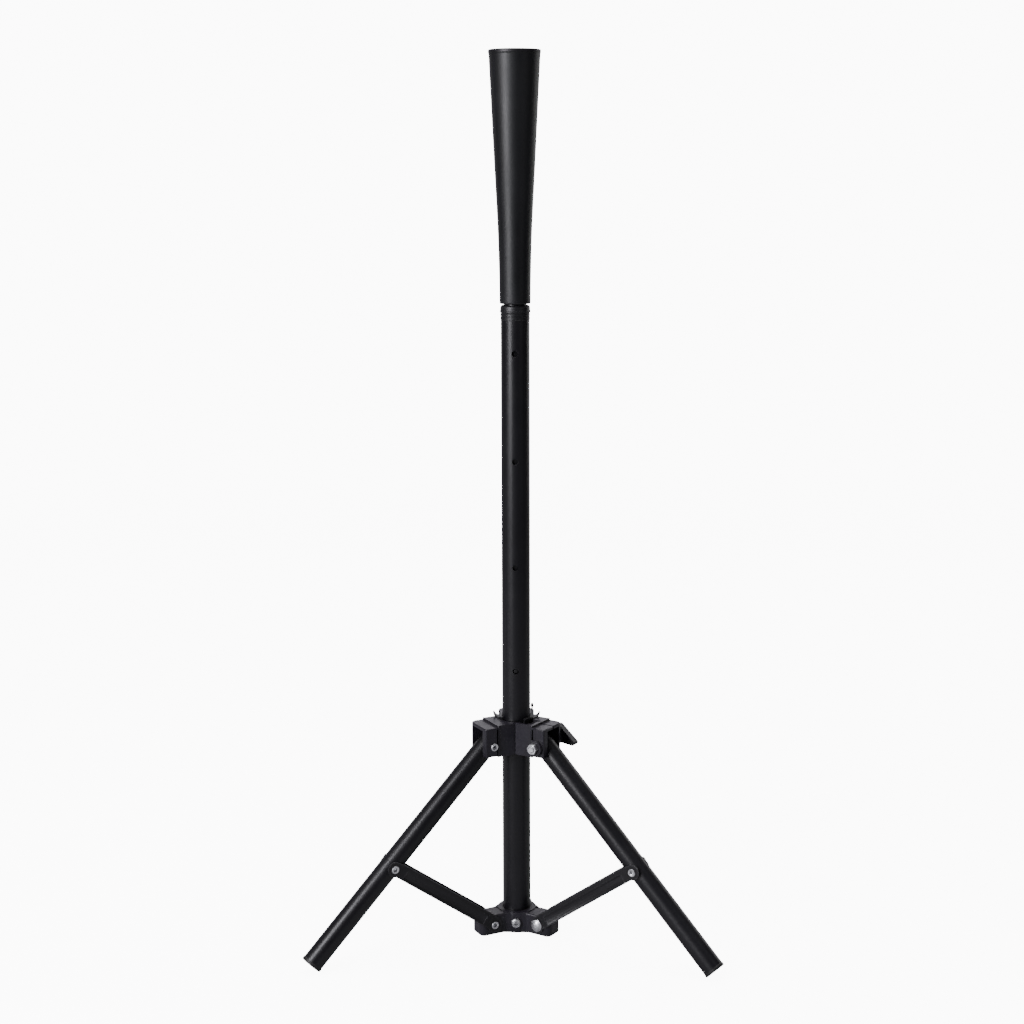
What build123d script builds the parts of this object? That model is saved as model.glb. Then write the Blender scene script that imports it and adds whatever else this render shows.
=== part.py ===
from build123d import *
import math
import os

# Folding tripod batting tee: a flexible ball rest on a telescoping mast that
# stands in a three-legged folding base. Millimetres, +Z up, floor at z = 0.
# The middle of the footprint on the floor is the origin; the mast axis stands
# AXIS_Y behind or in front of it, because the third leg points straight back.

# ---------------------------------------------------------------- dimensions
# mast (outer tube, fixed to the lower hub)
TUBE_R = 14.0            # outer tube radius
TUBE_BORE = 12.6         # outer tube bore radius
TUBE_Z0 = 5.5            # lower end of the outer tube
TUBE_Z1 = 622.0          # upper end of the outer tube
HOLE_R = 3.0             # height-setting holes
HOLE_TOP_Z = 590.0       # highest hole
HOLE_PITCH = 104.9       # hole to hole
HOLE_COUNT = 4

# sliding inner tube
INNER_R = 11.0
INNER_BORE = 9.8
INNER_Z0 = 240.0
INNER_Z1 = 664.0

# ferrule in the mouth of the outer tube
FERRULE_TOP = 636.0
FERRULE_BORE = 11.1
FERRULE_LOW = 602.0

# ball rest (hollow flexible cone) as (z, outer radius)
CONE_PROFILE = [(640.0, 15.0), (655.0, 15.13), (669.5, 15.38), (683.8, 15.74), (698.0, 16.12),
                (712.2, 16.66), (726.3, 17.32), (754.5, 18.78), (782.6, 20.2), (810.4, 21.58),
                (838.2, 22.94), (865.7, 24.28), (871.0, 24.6)]
CONE_Z0 = 637.4
CONE_Z1 = 875.4
CONE_WALL = 2.8
RIM_R = 25.0
SLEEVE_BORE = 12.6       # bore of the lower sleeve of the cone
ADAPTER_TOP = 706.0

# leg triangle, in the plane of one leg (r, z)
LEG_ANGLE = 44.7         # leg from the vertical when open
AXI_R, AXI_Z = 32.5, 202.0        # point of the leg's centre line beside its pivot
PIV_R, PIV_Z = 33.6, 203.1        # leg pivot on the upper hub, set off the centre line
LEG_R = 10.4             # leg tube radius
LEG_WALL = 1.2
LEG_HEAD = 6.5           # leg tube above that point
PIN_DIST = 153.0         # that point to the strut pin
CAP_R = 10.8             # foot cap radius
CAP_EDGE = 1.2           # foot cap edge rounding
CAP_FLANGE = 3.4         # foot cap flange outside the leg tube
CAP_PLUG = 18.0          # foot cap plug inside the leg tube
LOW_R, LOW_Z = 31.5, 15.0         # strut pivot on the lower hub

# upper hub
HUB_Z0, HUB_Z1 = 193.4, 222.2     # forked arms
BODY_Z0, BODY_Z1 = 191.9, 224.0   # middle part, a little taller
HUB_END = 43.3           # arm end
HUB_W = 16.3             # half width of the middle part's flat faces
HUB_WP = 18.0            # arm half width over the cheeks
HUB_RIB = (27.4, 29.2)   # upright rib beside the cheeks
HUB_GROOVE = 31.0        # end of the groove between rib and cheek
HUB_SLOT = 11.0          # half width of the leg slot
HUB_SLOT_R = 19.2        # inner end of the leg slot
HUB_ROOF = 3.0           # roof thickness over the leg slot
HUB_BORE = 15.7          # bore that holds the guide bushing
BUSH_BORE = 14.1         # running fit on the outer tube
SLIT_W = 2.0             # clamp slit
BOSS_R, BOSS_H = 8.0, 3.6         # round boss under the clamp nut

# lower hub
LOW_TOP, LOW_BOT = 24.6, 4.0
EAR_END = 45.6
EAR_W = 11.0
EAR_FIL = 1.8            # radius under the ear
EAR_PLAN = 5.5           # corner radius of the ear end, from above
COLLAR_FLAT = 18.4
COLLAR_HALF = 12.5

# strut (two flat bars with a shallow pressed hollow)
SHEET = 1.6
STRUT_IN = 11.4          # half width inside
BAR_UP, BAR_LOW = 8.6, -6.0       # long edges above and below the pin line
BAR_PRESS = (-5.2, 4.4, 0.9)      # pressed hollow: lower side, upper side, depth
STRUT_END = 7.6          # rounded end radius about the pins
STRUT_TIP = 4.5          # square-cut end past the upper pin

# pivots
RIVET_R = 3.0
HOLE_FIT = 3.1

ARMS = {"left": 210.0, "right": 330.0, "rear": 92.4}      # arm headings, degrees

A = math.radians(LEG_ANGLE)
LEG_DIR = (math.sin(A), 0.0, -math.cos(A))
LEG_NRM = (math.cos(A), 0.0, math.sin(A))
PIN_R = AXI_R + PIN_DIST * math.sin(A)
PIN_Z = AXI_Z - PIN_DIST * math.cos(A)
STRUT_LEN = math.hypot(PIN_R - LOW_R, PIN_Z - LOW_Z)
STRUT_ANGLE = math.degrees(math.atan2(PIN_Z - LOW_Z, PIN_R - LOW_R))
# centre of the foot's end face, so that the rounded cap just meets the floor
FOOT_Z = (CAP_R - CAP_EDGE) * math.sin(A) - CAP_EDGE * math.cos(A) + CAP_EDGE
LEG_LEN = (AXI_Z - FOOT_Z) / math.cos(A)          # centre-line point to end face of the cap

CC = (Align.CENTER, Align.CENTER, Align.CENTER)
CM = (Align.CENTER, Align.CENTER, Align.MIN)


def cyl(r, z0, z1):
    return Pos(0, 0, z0) * Cylinder(r, z1 - z0, align=CM)


def tube(r_out, r_in, z0, z1):
    return cyl(r_out, z0, z1) - cyl(r_in, z0 - 1, z1 + 1)


def block(x0, x1, y0, y1, z0, z1):
    return Pos((x0 + x1) / 2, (y0 + y1) / 2, (z0 + z1) / 2) * Box(x1 - x0, y1 - y0, z1 - z0)


def ycyl(x, z, r, y0, y1):
    """cylinder along Y"""
    return Plane(origin=(x, y0, z), x_dir=(1, 0, 0), z_dir=(0, 1, 0)) * Cylinder(r, y1 - y0, align=CM)


def turned(points):
    """solid of revolution about Z from (r, z) points"""
    face = make_face(Polyline([(r, 0, z) for r, z in points] + [(points[0][0], 0, points[0][1])]))
    return revolve(face, Axis.Z, 360)


def arm(shape, azimuth):
    return Rot(0, 0, azimuth) * shape


def dome_rivet(x, z, y_dome, y_end, head_r=5.6, head_h=2.4, ring_r=3.9, ring_h=1.0):
    """semi-tubular rivet along Y: truss head outside y_dome, rolled hollow end outside y_end"""
    s = 1 if y_end > y_dome else -1
    length = abs(y_end - y_dome)
    pts = [(0, -head_h), (1.9, -head_h * 0.97), (3.6, -head_h * 0.80), (4.8, -head_h * 0.52),
           (head_r, -0.35), (head_r, 0), (RIVET_R, 0), (RIVET_R, length), (ring_r, length),
           (ring_r, length + ring_h * 0.55), (ring_r - 0.5, length + ring_h),
           (2.6, length + ring_h), (1.9, length + ring_h * 0.5), (1.9, length - 3.0), (0, length - 3.0)]
    body = turned(pts)
    pl = Plane(origin=(x, y_dome, z), x_dir=(1, 0, 0), z_dir=(0, s, 0))
    return pl * body


nodes = {}

# ---------------------------------------------------------------- outer tube
outer = tube(TUBE_R, TUBE_BORE, TUBE_Z0, TUBE_Z1)
HOLE_Z = [HOLE_TOP_Z - i * HOLE_PITCH for i in range(HOLE_COUNT)]
for hz in HOLE_Z:
    outer -= ycyl(0, hz, HOLE_R, -TUBE_R - 2, -TUBE_BORE + 4)
outer -= ycyl(0, 14.4, 2.1, -TUBE_R - 2, -TUBE_BORE + 4)
nodes["outer_tube"] = outer

# ferrule: collar on top of the tube, sleeve in its bore
nodes["tube_top_ferrule"] = turned([
    (FERRULE_BORE, FERRULE_LOW), (12.45, FERRULE_LOW), (12.6, FERRULE_LOW + 0.6), (12.6, TUBE_Z1),
    (14.1, TUBE_Z1), (14.25, TUBE_Z1 + 0.3), (14.25, 624.6), (13.9, 624.9), (13.9, 625.5), (14.3, 625.8),
    (14.3, 627.8), (13.9, 628.1), (13.9, 628.7), (14.6, 629.0), (14.8, 629.6), (14.8, 630.6), (14.5, 631.2),
    (14.4, 633.4), (14.15, 634.7), (13.5, 635.6), (12.7, FERRULE_TOP), (11.6, FERRULE_TOP), (FERRULE_BORE, 635.5)])

nodes["tube_bottom_plug"] = turned([
    (0, TUBE_Z0 - 1.2), (13.2, TUBE_Z0 - 1.2), (13.9, TUBE_Z0 - 0.7), (13.9, TUBE_Z0), (12.6, TUBE_Z0), (12.6, 9.6),
    (12.1, 10.2), (10.4, 10.2), (10.4, 7.2), (0, 7.2)])

# ---------------------------------------------------------------- mast
inner = tube(INNER_R, INNER_BORE, INNER_Z0, INNER_Z1)
BUTTON_Z = HOLE_Z[-1]
inner -= ycyl(0, BUTTON_Z, 2.9, -INNER_R - 2, -INNER_BORE + 4)
nodes["inner_tube"] = inner
nodes["inner_tube_glide"] = turned([
    (INNER_R, INNER_Z0 - 2.4), (11.9, INNER_Z0 - 2.4), (12.3, INNER_Z0 - 1.6), (12.3, 262.0), (11.9, 262.8), (INNER_R, 262.8)]) \
    + turned([(8.6, INNER_Z0 - 2.4), (INNER_R, INNER_Z0 - 2.4), (INNER_R, INNER_Z0), (INNER_BORE, INNER_Z0), (INNER_BORE, 250.0), (8.6, 250.0)])
# snap button: hollow cap that pokes through the inner tube into a hole of the outer one
btn = Plane(origin=(0, -8.2, BUTTON_Z), x_dir=(1, 0, 0), z_dir=(0, -1, 0)) * turned([
    (0, 0.6), (2.0, 0.6), (2.0, 0), (3.6, 0), (3.6, 0.9), (2.75, 0.9), (2.75, 3.2), (2.5, 3.7), (1.9, 4.05), (1.0, 4.2), (0, 4.2)])
nodes["snap_button"] = btn
# leaf spring bent to a V inside the tube
spring_pts = [(-7.55, BUTTON_Z - 6.0), (-7.55, BUTTON_Z + 6.5), (-5.6, BUTTON_Z + 18.0), (-1.2, BUTTON_Z + 30.0), (1.2, BUTTON_Z + 30.0),
              (6.2, BUTTON_Z + 16.0), (9.0, BUTTON_Z - 2.0)]
sp = []
for (y, z) in spring_pts:
    sp.append((0, y, z))
inner_off = [(-7.0, BUTTON_Z - 6.0), (-7.0, BUTTON_Z + 6.4), (-5.1, BUTTON_Z + 17.8), (-0.85, BUTTON_Z + 29.4), (0.85, BUTTON_Z + 29.4),
             (5.7, BUTTON_Z + 15.8), (8.5, BUTTON_Z - 2.0)]
loop = sp + [(0, y, z) for (y, z) in reversed(inner_off)]
nodes["snap_spring"] = extrude(make_face(Polyline(loop + [loop[0]])), amount=2.8, both=True)

nodes["ball_rest_adapter"] = turned([
    (INNER_R, 638.6), (12.5, 638.6), (12.5, 668.0), (12.1, 669.0), (12.1, 671.0), (12.5, 672.0), (12.5, 700.0), (11.6, ADAPTER_TOP),
    (0, ADAPTER_TOP), (0, ADAPTER_TOP - 3.0), (9.2, ADAPTER_TOP - 3.0), (9.2, INNER_Z1), (INNER_R, INNER_Z1)])

outer_pts = [(14.1, CONE_Z0), (14.7, CONE_Z0 + 0.35), (14.95, CONE_Z0 + 1.1)] + [(r, z) for z, r in CONE_PROFILE] + \
    [(24.95, 872.2), (RIM_R, 873.0), (RIM_R, 874.4), (24.7, 875.1), (24.1, CONE_Z1), (23.0, CONE_Z1), (22.3, 875.0), (22.0, 874.2)]
inner_pts = [(r - CONE_WALL, z) for z, r in reversed(CONE_PROFILE) if z > 705 and z < 870]
cone_pts = outer_pts + inner_pts + [(13.6, 708.0), (SLEEVE_BORE, ADAPTER_TOP + 0.2), (SLEEVE_BORE, 638.4), (12.9, CONE_Z0 + 0.2), (13.3, CONE_Z0)]
nodes["ball_rest_cone"] = turned(cone_pts)

# ---------------------------------------------------------------- upper hub
def hub_arm(r_minus, r_plus):
    """forked arm along +X; r_minus and r_plus round the end corners on the -Y and +Y side"""
    a = block(HUB_GROOVE, HUB_END, -HUB_WP, HUB_WP, HUB_Z0, HUB_Z1)
    ends = a.edges().filter_by(Axis.Z).filter_by(lambda e: e.center().X > HUB_END - 1)
    a = fillet([e for e in ends if e.center().Y < 0], r_minus)
    ends = a.edges().filter_by(Axis.Z).filter_by(lambda e: e.center().X > HUB_END - 1 and e.center().Y > HUB_WP - 0.1)
    a = fillet(ends, r_plus)
    top = [e for e in a.edges() if e.center().Z > HUB_Z1 - 0.01 and e.center().X > HUB_GROOVE + 0.5]
    a = fillet(top, 1.0)
    a += block(10, HUB_GROOVE, -15.0, 15.0, HUB_Z0, HUB_Z1)
    a += block(HUB_RIB[0], HUB_GROOVE, -HUB_WP + 0.8, HUB_WP - 0.8, HUB_Z1 - 1.6, HUB_Z1)
    return a


def hub_body():
    b = block(0, HUB_RIB[1], -HUB_W, HUB_W, BODY_Z0, BODY_Z1)
    rib = block(HUB_RIB[0], HUB_RIB[1], -HUB_W - 0.9, HUB_W + 0.9, BODY_Z0, BODY_Z1)
    rib = fillet(rib.edges().filter_by(Axis.Z), 0.8)
    return b + rib


CORNERS = {"left": (7.0, 1.5), "right": (1.5, 7.0), "rear": (7.0, 7.0)}
hub = None
for name, az in ARMS.items():
    a = arm(hub_arm(*CORNERS[name]) + hub_body(), az)
    hub = a if hub is None else hub + a
for name, az in ARMS.items():
    slot = block(HUB_SLOT_R, HUB_END + 6, -HUB_SLOT, HUB_SLOT, BODY_Z0 - 1, HUB_Z1 - HUB_ROOF)
    hub -= arm(slot, az)
hub -= cyl(HUB_BORE, BODY_Z0 - 1, BODY_Z1 + 1)
# round boss under the clamp nut
hub += arm(ycyl(PIV_R, PIV_Z, BOSS_R, -HUB_WP - BOSS_H, -HUB_WP + 0.5), ARMS["right"])
hub -= arm(ycyl(PIV_R, PIV_Z, HOLE_FIT, -40, 40), ARMS["right"])
for name in ("left", "rear"):
    hub -= arm(ycyl(PIV_R, PIV_Z, RIVET_R + 0.05, -40, 40), ARMS[name])
# clamp slit: open pocket at the bore, then a narrow saw cut out through the arm end
hub -= arm(block(HUB_BORE - 4, 25.6, -12.8, 4.2, BODY_Z1 - 2.8, BODY_Z1 + 1), ARMS["right"])
hub -= arm(block(HUB_BORE - 3, HUB_END + 6, -SLIT_W / 2, SLIT_W / 2, BODY_Z0 - 1, BODY_Z1 + 1), ARMS["right"])

# guide bushing: plain sleeve, a raised collar open to the front, two horned tabs
PIN_POS = (15.6, 8.6)    # retaining pin
BUSH_LOW = 222.6         # sleeve height at the front
BUSH_TOP = 226.8         # collar height
bush = tube(HUB_BORE, BUSH_BORE, BODY_Z0, BUSH_LOW)
collar = tube(HUB_BORE, BUSH_BORE, BUSH_LOW, BUSH_TOP) + tube(16.6, BUSH_BORE, BODY_Z1, BUSH_TOP)
open_front = make_face(Polyline([(0, 0, 0), (60 * math.cos(math.radians(213)), 60 * math.sin(math.radians(213)), 0), (0, -90, 0),
                                 (60 * math.cos(math.radians(302)), 60 * math.sin(math.radians(302)), 0), (0, 0, 0)]))
collar -= Pos(0, 0, BUSH_LOW) * extrude(open_front, 12)
bush += collar
for az in (15.0, 165.0):
    side = make_face(Polyline([(14.8, -9.5, 224.0), (21.0, -9.5, 224.0), (23.0, -9.5, 225.2), (24.3, -9.5, 229.0), (23.8, -9.5, 229.1), (22.1, -9.5, 226.4),
                               (20.6, -9.5, 225.2), (14.8, -9.5, 225.2), (14.8, -9.5, 224.0)]))
    horn = extrude(side, amount=19, dir=(0, 1, 0))
    plan = make_face(Polyline([(14.0, -9.2, 0), (22.5, -2.0, 0), (25.0, -1.0, 0), (25.0, 1.0, 0), (22.5, 2.0, 0), (14.0, 9.2, 0), (14.0, -9.2, 0)]))
    horn = horn & (Pos(0, 0, 220) * extrude(plan, 12))
    bush += arm(horn, az) - cyl(BUSH_BORE, 200, 240)
bush -= arm(block(BUSH_BORE - 2, 18.0, -SLIT_W / 2, SLIT_W / 2, BODY_Z0 - 1, BUSH_TOP + 3), ARMS["right"])
pin_hole = Pos(PIN_POS[0], PIN_POS[1], 213) * Cylinder(0.7, 20, align=CM)
nodes["upper_hub"] = hub - pin_hole
nodes["hub_guide_bushing"] = bush - pin_hole
nodes["retaining_pin"] = Pos(PIN_POS[0], PIN_POS[1], 0) * cyl(0.7, 213, 234.2)
nodes["retaining_pin_head"] = Pos(PIN_POS[0], PIN_POS[1], 0) * turned([
    (0.7, 232.9), (1.2, 233.2), (1.45, 234.2), (1.3, 235.8), (0.9, 236.9), (0, 237.2), (0, 234.2), (0.7, 234.2)])

for n in ("left", "rear"):
    nodes[n + "_leg_pivot_rivet"] = arm(dome_rivet(PIV_R, PIV_Z, -HUB_WP, HUB_WP), ARMS[n])

# clamp: bolt carries the knob, nut sits on the front boss
BOLT_R = 3.0
NUT_Y = -HUB_WP - BOSS_H
bolt = ycyl(PIV_R, PIV_Z, BOLT_R, NUT_Y - 5.6, HUB_WP + 8.0)
bolt = chamfer([e for e in bolt.edges() if e.center().Y < 0], 0.6)
nodes["clamp_bolt"] = arm(bolt, ARMS["right"])
nut_pl = Plane(origin=(PIV_R, NUT_Y, PIV_Z), x_dir=(1, 0, 0), z_dir=(0, -1, 0))
nut = nut_pl * (extrude(RegularPolygon(5.4, 6), 4.4) & turned([(0, 0), (5.4, 0), (5.4, 3.9), (4.7, 4.4), (0, 4.4)]))
nut -= ycyl(PIV_R, PIV_Z, HOLE_FIT, NUT_Y - 10, NUT_Y + 1)
nodes["clamp_nut"] = arm(nut, ARMS["right"])

# wing knob: block against the cheek, two drooping wings in front of it
KN0 = HUB_WP + 0.5
kp = Plane(origin=(PIV_R, KN0, PIV_Z), x_dir=(-1, 0, 0), z_dir=(0, 1, 0))
outline = [(-20.4, -2.2), (-3.8, 12.6), (-1.8, 13.8), (1.8, 13.8), (3.8, 12.6), (20.4, -2.2), (20.7, -4.0), (18.6, -5.9), (5.2, -4.6),
           (0, -7.0), (-5.2, -4.6), (-18.6, -5.9), (-20.7, -4.0)]
inset = [(-16.6, -1.2), (-7.0, 7.2), (7.0, 7.2), (16.6, -1.2), (16.4, -3.2), (6.4, -2.2), (0, -4.4), (-6.4, -2.2), (-16.4, -3.2)]


def prism(pts, z0, z1):
    f = make_face(Polyline([(x, y, 0) for x, y in pts] + [(pts[0][0], pts[0][1], 0)]))
    return Pos(0, 0, z0) * extrude(f, z1 - z0)


rim = prism(outline, 4.0, 11.5)
rim = fillet(rim.edges().filter_by(Axis.Z), 0.9)
rim = rim - prism(inset, 9.9, 12.0) - prism(inset, 3.0, 5.4)
foot = Pos(0, 4.6, 2.4) * Box(12.0, 18.0, 4.8)
foot = fillet(foot.edges().filter_by(Axis.Z), 2.0)
knob = rim + foot + cyl(6.6, 0, 12.6)
knob -= cyl(BOLT_R, -1, 7.5)
nodes["clamp_knob"] = arm(kp * knob, ARMS["right"])

# ---------------------------------------------------------------- lower hub
low = None
for name, az in ARMS.items():
    ear = block(0, EAR_END, -EAR_W, EAR_W, LOW_BOT, LOW_TOP)
    ear = fillet([e for e in ear.edges().filter_by(Axis.Z) if e.center().X > 30], EAR_PLAN)
    ear = fillet([e for e in ear.edges() if e.center().X > 30 and e.center().Z < LOW_BOT + 0.1], EAR_FIL)
    ear = fillet([e for e in ear.edges() if e.center().X > 30 and e.center().Z > LOW_TOP - 0.1], 1.4)
    ear = arm(ear, az)
    fl = arm(block(0, COLLAR_FLAT, -COLLAR_HALF, COLLAR_HALF, LOW_BOT, LOW_TOP + 0.8), az + 60)
    low = ear + fl if low is None else low + ear + fl
low += cyl(19.2, LOW_BOT, LOW_TOP + 0.8)
low -= cyl(TUBE_R, LOW_BOT - 1, LOW_TOP + 5)
for name, az in ARMS.items():
    low -= arm(ycyl(LOW_R, LOW_Z, RIVET_R, -40, 40), az)
low -= ycyl(0, 14.4, 2.1, -25, -10)
nodes["lower_hub"] = low
nodes["lower_strut_rivets"] = Compound(children=[
    arm(dome_rivet(LOW_R, LOW_Z, -(STRUT_IN + SHEET + 0.15), STRUT_IN + SHEET + 0.15, head_r=6.2, head_h=2.6), az) for az in ARMS.values()])

# cross-recess pan screw through the collar into the tube
scr = turned([(0, -8.0), (2.1, -8.0), (2.1, 0), (4.75, 0), (4.85, 0.9), (4.5, 2.0), (3.6, 2.8), (2.2, 3.2), (0, 3.3)])
cross = Pos(0, 0, 3.0) * (Box(4.4, 1.0, 2.6) + Box(1.0, 4.4, 2.6))
scr = Plane(origin=(0, -COLLAR_FLAT - 0.8, 14.4), x_dir=(1, 0, 0), z_dir=(0, -1, 0)) * (scr - cross)
nodes["lower_hub_screw"] = scr

# ---------------------------------------------------------------- legs
leg_pl = Plane(origin=(AXI_R, 0, AXI_Z), x_dir=LEG_NRM, z_dir=LEG_DIR)
leg_tube_len = LEG_LEN - CAP_FLANGE
leg = Pos(0, 0, -LEG_HEAD) * Cylinder(LEG_R, leg_tube_len + LEG_HEAD, align=CM) \
    - Pos(0, 0, -LEG_HEAD - 1) * Cylinder(LEG_R - LEG_WALL, leg_tube_len + LEG_HEAD + 2, align=CM)
leg = leg_pl * leg
leg -= ycyl(PIV_R, PIV_Z, HOLE_FIT, -20, 20)
leg -= ycyl(PIN_R, PIN_Z, RIVET_R, -20, 20)
plug_r = LEG_R - LEG_WALL
cap_pts = [(0, LEG_LEN - CAP_FLANGE - 4.0), (6.4, LEG_LEN - CAP_FLANGE - 4.0), (6.4, LEG_LEN - CAP_FLANGE - CAP_PLUG),
           (plug_r - 0.9, LEG_LEN - CAP_FLANGE - CAP_PLUG), (plug_r, LEG_LEN - CAP_FLANGE - CAP_PLUG + 2.0), (plug_r, LEG_LEN - CAP_FLANGE),
           (CAP_R - 0.25, LEG_LEN - CAP_FLANGE), (CAP_R, LEG_LEN - CAP_FLANGE + 0.3)]
arc = [(CAP_R - CAP_EDGE + CAP_EDGE * math.cos(math.radians(t)), LEG_LEN - CAP_EDGE + CAP_EDGE * math.sin(math.radians(t)))
       for t in range(0, 91, 15)]
cap = leg_pl * turned(cap_pts + arc + [(0, LEG_LEN)])
pin = ycyl(PIN_R, PIN_Z, RIVET_R, -11.0, 11.0)
for name, az in ARMS.items():
    nodes[name + "_leg"] = arm(leg, az)
    nodes[name + "_foot_cap"] = arm(cap, az)
    nodes[name + "_leg_pin"] = arm(pin, az)

# ---------------------------------------------------------------- struts
# local strut frame: x along the strut from the lower pin, z normal to it (web side up)
def profile(points, y0, y1):
    f = make_face(Polyline([(x, y0, z) for x, z in points] + [(points[0][0], y0, points[0][1])]))
    return extrude(f, amount=(y1 - y0), dir=(0, 1, 0))


def bar(y0, y1, short=False):
    """flat bar; the short one is cut square just past the upper rivet"""
    L = STRUT_LEN
    body = profile([(0, BAR_LOW), (L, BAR_LOW), (L, BAR_UP - 1.0), (L - 7.0, BAR_UP), (7.0, BAR_UP), (0, BAR_UP - 1.0)], y0, y1)
    body += ycyl(0, 0, STRUT_END, y0, y1)
    if short:
        tip = fillet(block(L - 8.0, L + STRUT_TIP, y0, y1, BAR_LOW, BAR_UP - 1.0).edges().filter_by(Axis.Y).filter_by(lambda e: e.center().X > L), 2.2)
        body += tip
    else:
        body += ycyl(L, 0, STRUT_END, y0, y1)
    y = y1 if y1 > 0 else y0
    lo_, up_, deep = BAR_PRESS
    s = 1 if y > 0 else -1
    groove = make_face(Curve() + [ThreePointArc((13.0, y, lo_), (13.0, y - s * deep, (lo_ + up_) / 2), (13.0, y, up_)),
                                  Polyline([(13.0, y, up_), (13.0, y + s, up_), (13.0, y + s, lo_), (13.0, y, lo_)])])
    return body - extrude(groove, amount=L - 26.0, dir=(1, 0, 0))


chans = {}
for side in (1, -1):                          # side of the square-cut bar
    c = bar(STRUT_IN, STRUT_IN + SHEET, side > 0) + bar(-STRUT_IN - SHEET, -STRUT_IN, side < 0)
    c -= ycyl(0, 0, HOLE_FIT, -40, 40)
    chans[side] = c - ycyl(STRUT_LEN, 0, RIVET_R, -40, 40)
yo = STRUT_IN + SHEET
head_dome = Plane(origin=(STRUT_LEN, -yo, 0), x_dir=(1, 0, 0), z_dir=(0, -1, 0)) * turned([
    (0, 1.7), (1.6, 1.65), (3.0, 1.35), (4.1, 0.85), (4.7, 0.3), (4.7, 0), (RIVET_R, 0), (RIVET_R, -SHEET), (0, -SHEET)])
head_ring = Plane(origin=(STRUT_LEN, yo, 0), x_dir=(1, 0, 0), z_dir=(0, 1, 0)) * turned([
    (0, -SHEET + 0.3), (1.9, -SHEET + 0.3), (1.9, 0.5), (2.6, 1.0), (3.4, 1.0), (3.9, 0.55), (3.9, 0), (RIVET_R, 0), (RIVET_R, -SHEET), (0, -SHEET)])
place = Pos(LOW_R, 0, LOW_Z) * Rot(0, -STRUT_ANGLE, 0)
for name, az in ARMS.items():
    nodes[name + "_strut"] = arm(place * chans[1 if name == "right" else -1], az)
    heads = [head_dome, head_ring]
    if name == "right":                       # this rivet goes in from the other side
        heads = [mirror(h, about=Plane.XZ) for h in heads]
    nodes[name + "_strut_rivet_heads"] = arm(Compound(children=[place * h for h in heads]), az)

# ---------------------------------------------------------------- place on the floor and write
ys = []
for s in nodes.values():
    bb = s.bounding_box()
    ys += [bb.min.Y, bb.max.Y]
AXIS_Y = -round((min(ys) + max(ys)) / 2, 3)     # mast axis in the part's frame

os.makedirs("parts", exist_ok=True)
for name, shape in nodes.items():
    export_step(Pos(0, AXIS_Y, 0) * shape, "parts/%s.step" % name)

print("AXIS_Y %.3f  STRUT_LEN %.3f  STRUT_ANGLE %.3f  PIN (%.3f, %.3f)  LEG_LEN %.3f" % (AXIS_Y, STRUT_LEN, STRUT_ANGLE, PIN_R, PIN_Z, LEG_LEN))
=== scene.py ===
import bpy
import bmesh
import math
from mathutils import Matrix, Vector


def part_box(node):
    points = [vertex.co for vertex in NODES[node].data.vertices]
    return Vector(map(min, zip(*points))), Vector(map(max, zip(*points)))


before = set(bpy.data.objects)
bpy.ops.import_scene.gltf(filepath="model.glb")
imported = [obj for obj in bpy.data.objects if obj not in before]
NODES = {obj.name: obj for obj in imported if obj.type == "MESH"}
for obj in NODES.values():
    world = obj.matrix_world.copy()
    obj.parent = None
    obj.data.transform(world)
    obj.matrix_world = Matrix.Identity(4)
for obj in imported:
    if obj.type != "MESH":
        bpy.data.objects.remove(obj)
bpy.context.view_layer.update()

# ------------------------------------------------------------------ helpers
SCN = bpy.context.scene
lo_t, hi_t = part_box("outer_tube")
MAST = Vector(((lo_t[0] + hi_t[0]) / 2, (lo_t[1] + hi_t[1]) / 2, 0.0))   # mast axis on the floor


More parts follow.
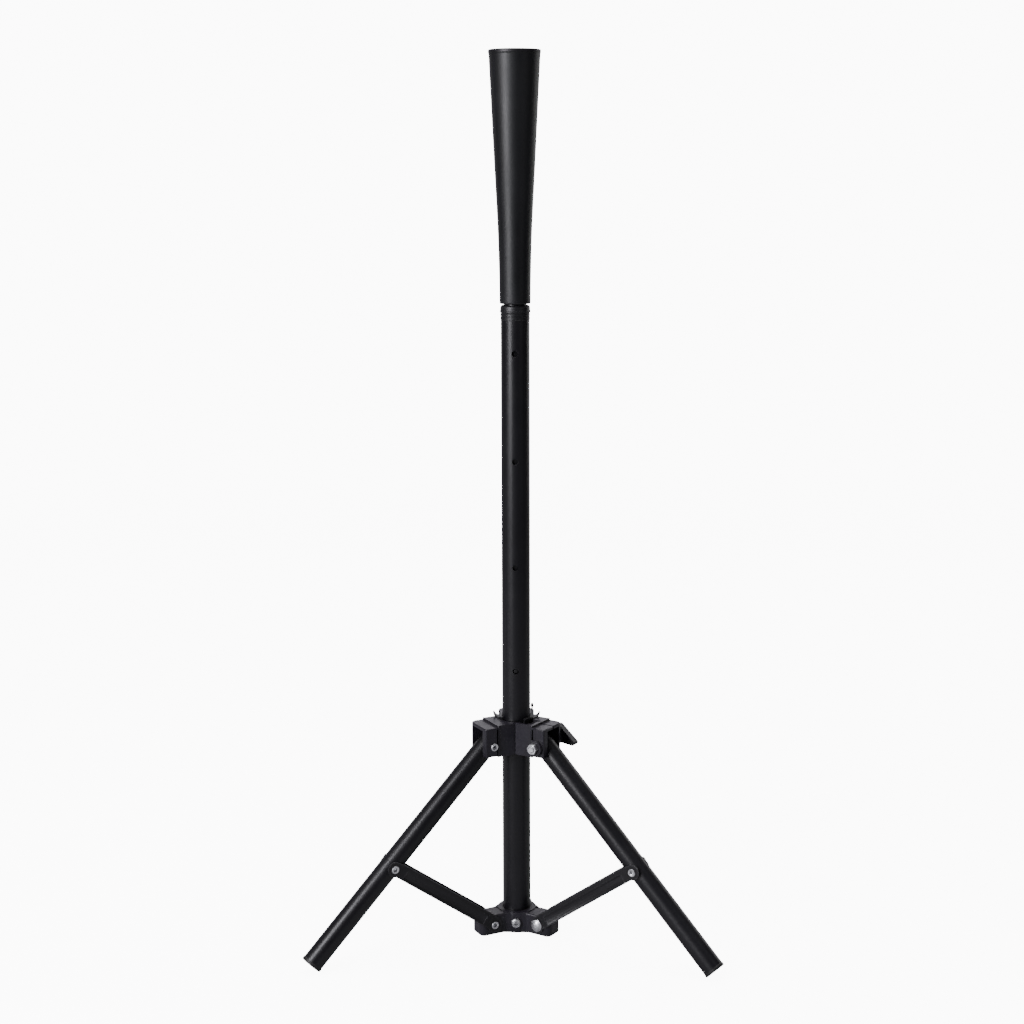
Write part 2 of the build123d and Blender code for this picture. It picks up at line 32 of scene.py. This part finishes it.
class Mat:
    """small builder for node materials"""

    def __init__(self, name):
        self.m = bpy.data.materials.new(name)
        self.m.use_nodes = True
        self.t = self.m.node_tree
        self.t.nodes.clear()
        self.out = self.t.nodes.new("ShaderNodeOutputMaterial")
        self.b = self.t.nodes.new("ShaderNodeBsdfPrincipled")
        self.t.links.new(self.b.outputs[0], self.out.inputs[0])
        self.co = self.t.nodes.new("ShaderNodeTexCoord").outputs["Object"]

    def node(self, kind, **kw):
        n = self.t.nodes.new(kind)
        for k, v in kw.items():
            setattr(n, k, v)
        return n

    def link(self, a, b):
        self.t.links.new(a, b)

    def scaled(self, scale, src=None):
        n = self.node("ShaderNodeMapping")
        n.inputs["Scale"].default_value = scale
        self.link(src or self.co, n.inputs["Vector"])
        return n.outputs[0]

    def noise(self, scale, detail=3.0, rough=0.5, vec=None, dist=0.0):
        n = self.node("ShaderNodeTexNoise")
        n.inputs["Scale"].default_value = scale
        n.inputs["Detail"].default_value = detail
        n.inputs["Roughness"].default_value = rough
        n.inputs["Distortion"].default_value = dist
        self.link(vec or self.co, n.inputs["Vector"])
        return n.outputs["Fac"]

    def voronoi(self, scale, vec=None, feature="F1", rand=1.0):
        n = self.node("ShaderNodeTexVoronoi", feature=feature)
        n.inputs["Scale"].default_value = scale
        n.inputs["Randomness"].default_value = rand
        self.link(vec or self.co, n.inputs["Vector"])
        return n.outputs["Distance"]

    def ramp(self, src, stops):
        n = self.node("ShaderNodeValToRGB")
        e = n.color_ramp.elements
        while len(e) > 1:
            e.remove(e[-1])
        e[0].position = stops[0][0]
        c = stops[0][1]
        e[0].color = (c, c, c, 1) if isinstance(c, (int, float)) else (*c, 1)
        for p, c in stops[1:]:
            q = e.new(p)
            q.color = (c, c, c, 1) if isinstance(c, (int, float)) else (*c, 1)
        self.link(src, n.inputs[0])
        return n.outputs[0]

    def mapr(self, src, a, b, c, d):
        n = self.node("ShaderNodeMapRange")
        for i, v in enumerate((a, b, c, d)):
            n.inputs[i + 1].default_value = v
        self.link(src, n.inputs[0])
        return n.outputs[0]

    def math(self, op, a, b=None, clamp=False):
        n = self.node("ShaderNodeMath", operation=op, use_clamp=clamp)
        for i, v in enumerate((a, b)):
            if v is None:
                continue
            if isinstance(v, (int, float)):
                n.inputs[i].default_value = v
            else:
                self.link(v, n.inputs[i])
        return n.outputs[0]

    def mix(self, fac, a, b):
        n = self.node("ShaderNodeMix", data_type="RGBA")
        ins = n.inputs                       # 0 factor, 6 and 7 the two colours
        for idx, v in ((0, fac), (6, a), (7, b)):
            if isinstance(v, (int, float)):
                ins[idx].default_value = v
            elif isinstance(v, tuple):
                ins[idx].default_value = (*v, 1)
            else:
                self.link(v, ins[idx])
        return n.outputs[2]

    def bump(self, height, strength, distance, prev=None):
        n = self.node("ShaderNodeBump")
        n.inputs["Strength"].default_value = strength
        n.inputs["Distance"].default_value = distance
        self.link(height, n.inputs["Height"])
        if prev is not None:
            self.link(prev, n.inputs["Normal"])
        return n.outputs[0]

    def edge(self, radius=0.0006):
        """0 on flats, 1 near edges: drives edge wear and also painted edge highlights"""
        n = self.node("ShaderNodeBevel", samples=4)
        n.inputs["Radius"].default_value = radius
        g = self.node("ShaderNodeNewGeometry")
        d = self.node("ShaderNodeVectorMath", operation="DOT_PRODUCT")
        self.link(n.outputs[0], d.inputs[0])
        self.link(g.outputs["Normal"], d.inputs[1])
        return self.mapr(d.outputs["Value"], 0.995, 0.86, 0.0, 1.0)

    def hollow(self, distance, lo=0.35, hi=0.85):
        """ambient-occlusion mask for painted shade: 1 down in holes and grooves, 0 on open faces"""
        n = self.node("ShaderNodeAmbientOcclusion", samples=6)
        n.inputs["Distance"].default_value = distance
        return self.mapr(n.outputs["AO"], lo, hi, 1.0, 0.0)

    def set(self, **kw):
        for k, v in kw.items():
            s = self.b.inputs[k.replace("_", " ")]
            if isinstance(v, (int, float)):
                s.default_value = v
            elif isinstance(v, tuple):
                s.default_value = (*v, 1) if len(v) == 3 and s.type == "RGBA" else v
            else:
                self.link(v, s)
        return self

    def normal(self, n):
        self.link(n, self.b.inputs["Normal"])


def powder_coat(name, base, rough, wear=0.5, dust=0.35, peel=1.0, rub_and_sheen=0.0):
    """satin powder coat on steel: faint orange peel, gloss that drifts slowly, a few hairlines, dust and edge wear,
    and optionally a painted sheen band along the edges
    """
    m = Mat(name)
    big = m.noise(7.0, 3, 0.5)
    mid = m.noise(60.0, 4, 0.6)
    fine = m.noise(620.0, 2, 0.5)
    speck = m.noise(2400.0, 1, 0.5)
    hair = m.noise(1.0, 3, 0.6, vec=m.scaled((260.0, 260.0, 900.0)))
    scr = m.math("MULTIPLY", m.ramp(hair, [(0.0, 0.0), (0.70, 0.0), (0.76, 1.0)]), m.ramp(m.noise(18.0, 2), [(0.50, 0.0), (0.62, 1.0)]))
    e = m.edge(0.0007)
    ewear = m.math("MULTIPLY", e, m.ramp(mid, [(0.38, 0.0), (0.62, 1.0)]))
    ewear = m.math("MULTIPLY", ewear, wear)
    dark = tuple(c * 0.82 for c in base)
    light = tuple(min(1, c * 1.25) for c in base)
    col = m.mix(m.ramp(big, [(0.3, 0.0), (0.7, 1.0)]), dark, light)
    col = m.mix(m.math("MULTIPLY", m.ramp(speck, [(0.60, 0.0), (0.72, 1.0)]), 0.20), col, tuple(min(1, c * 2.2) for c in base))
    col = m.mix(m.math("MULTIPLY", scr, 0.25), col, (0.05, 0.05, 0.053))
    col = m.mix(m.math("MULTIPLY", m.ramp(m.noise(26.0, 5, 0.65), [(0.55, 0.0), (0.85, 1.0)]), dust * 0.16), col, (0.10, 0.096, 0.092))
    # painted sheen: a band a few millimetres wide along the edges is painted lighter, standing in for the
    # light-dark-light shading across the strut
    if rub_and_sheen:
        soft = m.math("MULTIPLY", m.edge(rub_and_sheen), m.mapr(m.noise(9.0, 3), 0.3, 0.7, 0.55, 1.0))
        col = m.mix(soft, col, (0.030, 0.0285, 0.033))
    col = m.mix(ewear, col, (0.16, 0.16, 0.17))
    r = m.mapr(mid, 0.3, 0.7, rough - 0.025, rough + 0.03)
    r = m.math("ADD", r, m.math("MULTIPLY", scr, 0.06))
    r = m.math("ADD", r, m.mapr(big, 0.35, 0.75, -0.02, 0.03))
    m.set(Base_Color=col, Roughness=r)
    m.b.inputs["Specular IOR Level"].default_value = 0.45
    n = m.bump(fine, 0.05 * peel, 0.00005)
    m.normal(m.bump(speck, 0.03 * peel, 0.00002, n))
    return m.m


def moulded(name, base, rough, grain=2200.0, bump=0.30, edge_sheen=0.5, dust=0.3):
    """injection-moulded plastic: fine spark grain, flow variation, polished edges with a painted edge highlight,
    faint dust, painted shade down in holes and grooves
    """
    m = Mat(name)
    g = m.voronoi(grain)
    g2 = m.noise(grain * 0.55, 2, 0.5)
    flow = m.noise(1.0, 4, 0.6, vec=m.scaled((38.0, 38.0, 20.0)), dist=0.6)
    e = m.edge(0.0006)
    dark = tuple(c * 0.8 for c in base)
    light = tuple(min(1, c * 1.3) for c in base)
    col = m.mix(m.ramp(flow, [(0.3, 0.0), (0.7, 1.0)]), dark, light)
    col = m.mix(m.math("MULTIPLY", m.ramp(m.noise(150.0, 5, 0.7), [(0.5, 0.0), (0.75, 1.0)]), dust * 0.11), col, (0.14, 0.135, 0.135))
    # painted highlight: edges are painted lighter, standing in for polished edges catching the light; the lower edge
    # roughness is the real polish
    col = m.mix(m.math("MULTIPLY", e, edge_sheen), col, tuple(min(1, c * 3.0 + 0.02) for c in base))
    # painted shade: holes and grooves are darkened to near black through an ambient-occlusion mask
    painted_shade = m.hollow(0.004)
    col = m.mix(m.math("MULTIPLY", painted_shade, 0.9), col, (0.0012, 0.0012, 0.0016))
    r = m.mapr(flow, 0.3, 0.7, rough - 0.04, rough + 0.04)
    r = m.math("SUBTRACT", r, m.math("MULTIPLY", e, 0.12))
    r = m.math("ADD", r, m.math("MULTIPLY", m.noise(700.0, 3, 0.6), 0.04))
    r = m.math("ADD", r, m.math("MULTIPLY", painted_shade, 0.25))
    m.set(Base_Color=col, Roughness=r, Specular_IOR_Level=0.5)
    h = m.math("ADD", m.math("MULTIPLY", g, 0.9), m.math("MULTIPLY", g2, 0.7))
    m.normal(m.bump(h, bump * 0.6, 0.00004))
    return m.m


def rubber(name, base, rough, seam_axis=None):
    """moulded rubber: soft sheen, faint bloom, fine skin, vertical rub marks"""
    m = Mat(name)
    bloom = m.noise(1.0, 5, 0.62, vec=m.scaled((30.0, 30.0, 9.0)), dist=0.4)
    rub_and_sheen = m.noise(1.0, 4, 0.6, vec=m.scaled((420.0, 420.0, 14.0)))
    skin = m.noise(1500.0, 3, 0.6)
    pits = m.voronoi(900.0)
    dark = tuple(c * 0.82 for c in base)
    light = tuple(min(1, c * 1.4) for c in base)
    col = m.mix(m.ramp(bloom, [(0.32, 0.0), (0.70, 1.0)]), dark, light)
    col = m.mix(m.math("MULTIPLY", m.ramp(rub_and_sheen, [(0.58, 0.0), (0.74, 1.0)]), 0.18), col, tuple(min(1, c * 2.4) for c in base))
    e = m.edge(0.0010)
    col = m.mix(m.math("MULTIPLY", e, 0.18), col, (0.09, 0.09, 0.092))
    r = m.mapr(bloom, 0.3, 0.7, rough - 0.05, rough + 0.07)
    r = m.math("ADD", r, m.math("MULTIPLY", rub_and_sheen, 0.05))
    m.set(Base_Color=col, Roughness=r, Specular_IOR_Level=0.45)
    n = m.bump(m.math("ADD", m.math("MULTIPLY", skin, 1.0), m.math("MULTIPLY", pits, 0.4)), 0.10, 0.00004)
    m.normal(m.bump(bloom, 0.03, 0.0003, n))
    return m.m


def plated(name, base, rough, brush=(600.0, 600.0, 600.0), stain=0.3):
    """bright zinc or drawn steel: fine brushing, cloudy plating, painted shade in the low spots"""
    m = Mat(name)
    cloud = m.noise(160.0, 5, 0.6)
    br = m.noise(1.0, 4, 0.65, vec=m.scaled(brush))
    e = m.edge(0.0005)
    dark = tuple(c * 0.72 for c in base)
    col = m.mix(m.ramp(cloud, [(0.3, 0.0), (0.65, 1.0)]), dark, base)
    col = m.mix(m.math("MULTIPLY", m.ramp(m.noise(420.0, 4, 0.6), [(0.56, 0.0), (0.72, 1.0)]), stain), col, (0.22, 0.21, 0.20))
    col = m.mix(m.math("MULTIPLY", e, 0.5), col, (0.95, 0.95, 0.96))
    # painted shade: holes, slots and recesses are darkened through an ambient-occlusion mask
    painted_shade = m.hollow(0.0018, 0.30, 0.80)
    col = m.mix(m.math("MULTIPLY", painted_shade, 0.92), col, (0.030, 0.034, 0.045))
    r = m.mapr(cloud, 0.3, 0.7, rough - 0.06, rough + 0.10)
    r = m.math("ADD", r, m.math("MULTIPLY", br, 0.06))
    m.set(Base_Color=col, Metallic=1.0, Roughness=r)
    m.normal(m.bump(br, 0.12, 0.00004))
    return m.m


MATS = {
    "tube": powder_coat("mast_powder_coat", (0.0046, 0.0041, 0.0058), 0.36, wear=0.45, dust=0.12, peel=0.5),
    "leg": powder_coat("leg_powder_coat", (0.0040, 0.0036, 0.0052), 0.36, wear=0.5, dust=0.14, peel=0.5),
    "inner": powder_coat("inner_powder_coat", (0.0050, 0.0050, 0.0062), 0.30, wear=0.6, dust=0.1),
    "strut": powder_coat("strut_powder_coat", (0.0046, 0.0043, 0.0056), 0.38, wear=0.5, dust=0.14, peel=0.8, rub_and_sheen=0.0030),
    "cone": rubber("cone_rubber", (0.0040, 0.0041, 0.0052), 0.43),
    "hub": moulded("hub_nylon", (0.0112, 0.0094, 0.0150), 0.37),
    "bush": moulded("bushing_acetal", (0.0045, 0.0044, 0.0056), 0.40, grain=1500.0, bump=0.18, edge_sheen=0.4, dust=0.2),
    "knob": moulded("knob_nylon", (0.0085, 0.0078, 0.0105), 0.40, grain=1800.0, bump=0.2, dust=0.15),
    "cap": rubber("foot_rubber", (0.0080, 0.0079, 0.0085), 0.48),
    "zinc": plated("bright_zinc", (0.90, 0.91, 0.93), 0.33),
    "spring": plated("spring_steel", (0.40, 0.41, 0.44), 0.28, brush=(500.0, 500.0, 60.0)),
}

USE = {
    "outer_tube": "tube", "tube_top_ferrule": "bush", "tube_bottom_plug": "bush", "lower_hub": "hub", "lower_hub_screw": "zinc",
    "lower_strut_rivets": "zinc", "upper_hub": "hub", "hub_guide_bushing": "bush", "retaining_pin": "zinc", "retaining_pin_head": "bush",
    "left_leg_pivot_rivet": "zinc", "rear_leg_pivot_rivet": "zinc", "clamp_nut": "zinc", "clamp_bolt": "zinc", "clamp_knob": "knob", "inner_tube": "inner",
    "inner_tube_glide": "bush", "ball_rest_adapter": "bush", "ball_rest_cone": "cone", "snap_spring": "spring", "snap_button": "bush"}
for side in ("left", "right", "rear"):
    USE.update({side + "_leg": "leg", side + "_foot_cap": "cap", side + "_leg_pin": "zinc", side + "_strut": "strut",
                side + "_strut_rivet_heads": "zinc"})

BEVEL = {"upper_hub": 0.0007, "lower_hub": 0.0006, "clamp_knob": 0.0008, "hub_guide_bushing": 0.00025, "clamp_nut": 0.0003,
         "left_strut": 0.0005, "right_strut": 0.0005, "rear_strut": 0.0005}

for node, obj in NODES.items():
    mat = MATS[USE[node]]
    for s in obj.material_slots:
        s.material = mat
    if not obj.material_slots:
        raise RuntimeError("no slot on " + node)
    if node in BEVEL:
        w = obj.modifiers.new("weld", "WELD")
        w.merge_threshold = 0.000005
        b = obj.modifiers.new("edge_round", "BEVEL")
        b.width = BEVEL[node]
        b.segments = 2
        b.limit_method = "ANGLE"
        b.angle_limit = math.radians(38)
        b.miter_outer = "MITER_ARC"
        b.use_clamp_overlap = True
        b.harden_normals = True

# ------------------------------------------------------------------ stage
def paper_floor():
    """pale floor that fades into the pale surroundings, so it looks the same from every side"""
    me = bpy.data.meshes.new("stage_floor")
    bm = bmesh.new()
    bmesh.ops.create_circle(bm, cap_ends=True, segments=96, radius=3.2)
    bm.to_mesh(me)
    bm.free()
    o = bpy.data.objects.new("stage_floor", me)
    SCN.collection.objects.link(o)
    m = Mat("stage_paper")
    col = m.mix(m.ramp(m.noise(3.0, 3), [(0.3, 0.0), (0.7, 1.0)]), (0.80, 0.80, 0.805), (0.82, 0.82, 0.825))
    lp = m.node("ShaderNodeLightPath")
    dim = m.node("ShaderNodeBsdfDiffuse")
    dim.inputs["Color"].default_value = (0.30, 0.30, 0.31, 1)
    m.set(Base_Color=col, Roughness=0.9, Specular_IOR_Level=0.1)
    m.b.inputs["Emission Color"].default_value = (1.0, 1.0, 1.0, 1)
    m.b.inputs["Emission Strength"].default_value = FLOOR_LIFT
    seen = m.node("ShaderNodeMixShader")
    m.link(lp.outputs["Is Camera Ray"], seen.inputs[0])
    m.link(dim.outputs[0], seen.inputs[1])
    m.link(m.b.outputs[0], seen.inputs[2])
    r = m.node("ShaderNodeVectorMath", operation="LENGTH")
    m.link(m.co, r.inputs[0])
    fade = m.mapr(r.outputs["Value"], 0.9, 3.0, 0.0, 1.0)
    clear = m.node("ShaderNodeBsdfTransparent")
    mixed = m.node("ShaderNodeMixShader")
    m.link(fade, mixed.inputs[0])
    m.link(seen.outputs[0], mixed.inputs[1])
    m.link(clear.outputs[0], mixed.inputs[2])
    m.link(mixed.outputs[0], m.out.inputs[0])
    o.data.materials.append(m.m)
    return o


FLOOR_LIFT = 10.0
AROUND = 11.0          # brightness of the plain surroundings
paper_floor()

world = bpy.data.worlds.new("studio") if SCN.world is None else SCN.world
SCN.world = world
world.use_nodes = True
wt = world.node_tree
wt.nodes.clear()
wo = wt.nodes.new("ShaderNodeOutputWorld")
wm = wt.nodes.new("ShaderNodeMixShader")
wl = wt.nodes.new("ShaderNodeLightPath")
w_dim = wt.nodes.new("ShaderNodeBackground")
w_dim.inputs[0].default_value = (0.86, 0.82, 0.95, 1)
w_dim.inputs[1].default_value = 0.07
w_pale = wt.nodes.new("ShaderNodeBackground")
w_pale.inputs[0].default_value = (1.0, 1.0, 1.0, 1)
w_pale.inputs[1].default_value = AROUND
wt.links.new(wl.outputs["Is Camera Ray"], wm.inputs[0])
wt.links.new(w_dim.outputs[0], wm.inputs[1])
wt.links.new(w_pale.outputs[0], wm.inputs[2])
wt.links.new(wm.outputs[0], wo.inputs[0])


def area(name, loc, target, sx, sy, watts, color=(1, 1, 1), spread=math.pi):
    L = bpy.data.lights.new(name, "AREA")
    L.shape = "RECTANGLE"
    L.size, L.size_y = sx, sy
    L.energy = watts
    L.color = color
    L.spread = spread
    o = bpy.data.objects.new(name, L)
    d = (Vector(target) - Vector(loc)).normalized()
    o.matrix_world = Matrix.Translation(Vector(loc)) @ d.to_track_quat("-Z", "Y").to_matrix().to_4x4()
    SCN.collection.objects.link(o)
    return o


area("key_left", (-1.56, -1.76, 1.25), (0.0, -0.05, 0.85), 0.80, 1.6, 80, (0.96, 0.95, 1.0))
area("soft_left", (-1.7, -0.5, 2.0), (0.0, -0.05, 0.25), 1.1, 1.1, 2, (0.97, 0.98, 1.0))
area("fill_right", (2.2, -1.9, 1.4), (0.0, 0.0, 0.3), 1.4, 1.6, 5, (1.0, 0.98, 0.98))
area("rim_left", (-1.5, 1.3, 0.9), (0.0, -0.05, 0.5), 0.8, 1.6, 1.5)
area("rim_right", (1.5, 1.3, 0.9), (0.0, -0.05, 0.5), 0.8, 1.6, 7)
area("top", (0.0, 0.25, 2.6), (0.0, -0.05, 0.0), 1.6, 1.4, 62)
back = area("back_card", (0.0, 1.9, 0.66), (0.0, 0.0, 0.2), 2.4, 0.6, 8, (0.97, 0.95, 1.0))
back.visible_camera = False

# ------------------------------------------------------------------ camera
cam_data = bpy.data.cameras.new("camera")
cam = bpy.data.objects.new("camera", cam_data)
SCN.collection.objects.link(cam)
cam_data.sensor_width = 36.0
cam_data.lens = 66.665
cam_data.clip_start = 0.05
cam_data.clip_end = 50.0
DL = math.radians(2.46)
TH = math.radians(10.38)
RHO = math.radians(-0.18)
rot = Matrix.Rotation(DL, 3, "Z")
fwd = rot @ Vector((0.0, math.cos(TH), -math.sin(TH)))
right = rot @ Vector((1.0, 0.0, 0.0))
up = right.cross(fwd)
r2 = math.cos(RHO) * right + math.sin(RHO) * up
u2 = -math.sin(RHO) * right + math.cos(RHO) * up
loc = rot @ Vector((-0.00365, -1.83093, 0.76884)) + MAST
cam.matrix_world = Matrix(((r2.x, u2.x, -fwd.x, loc.x), (r2.y, u2.y, -fwd.y, loc.y), (r2.z, u2.z, -fwd.z, loc.z), (0, 0, 0, 1)))
SCN.camera = cam
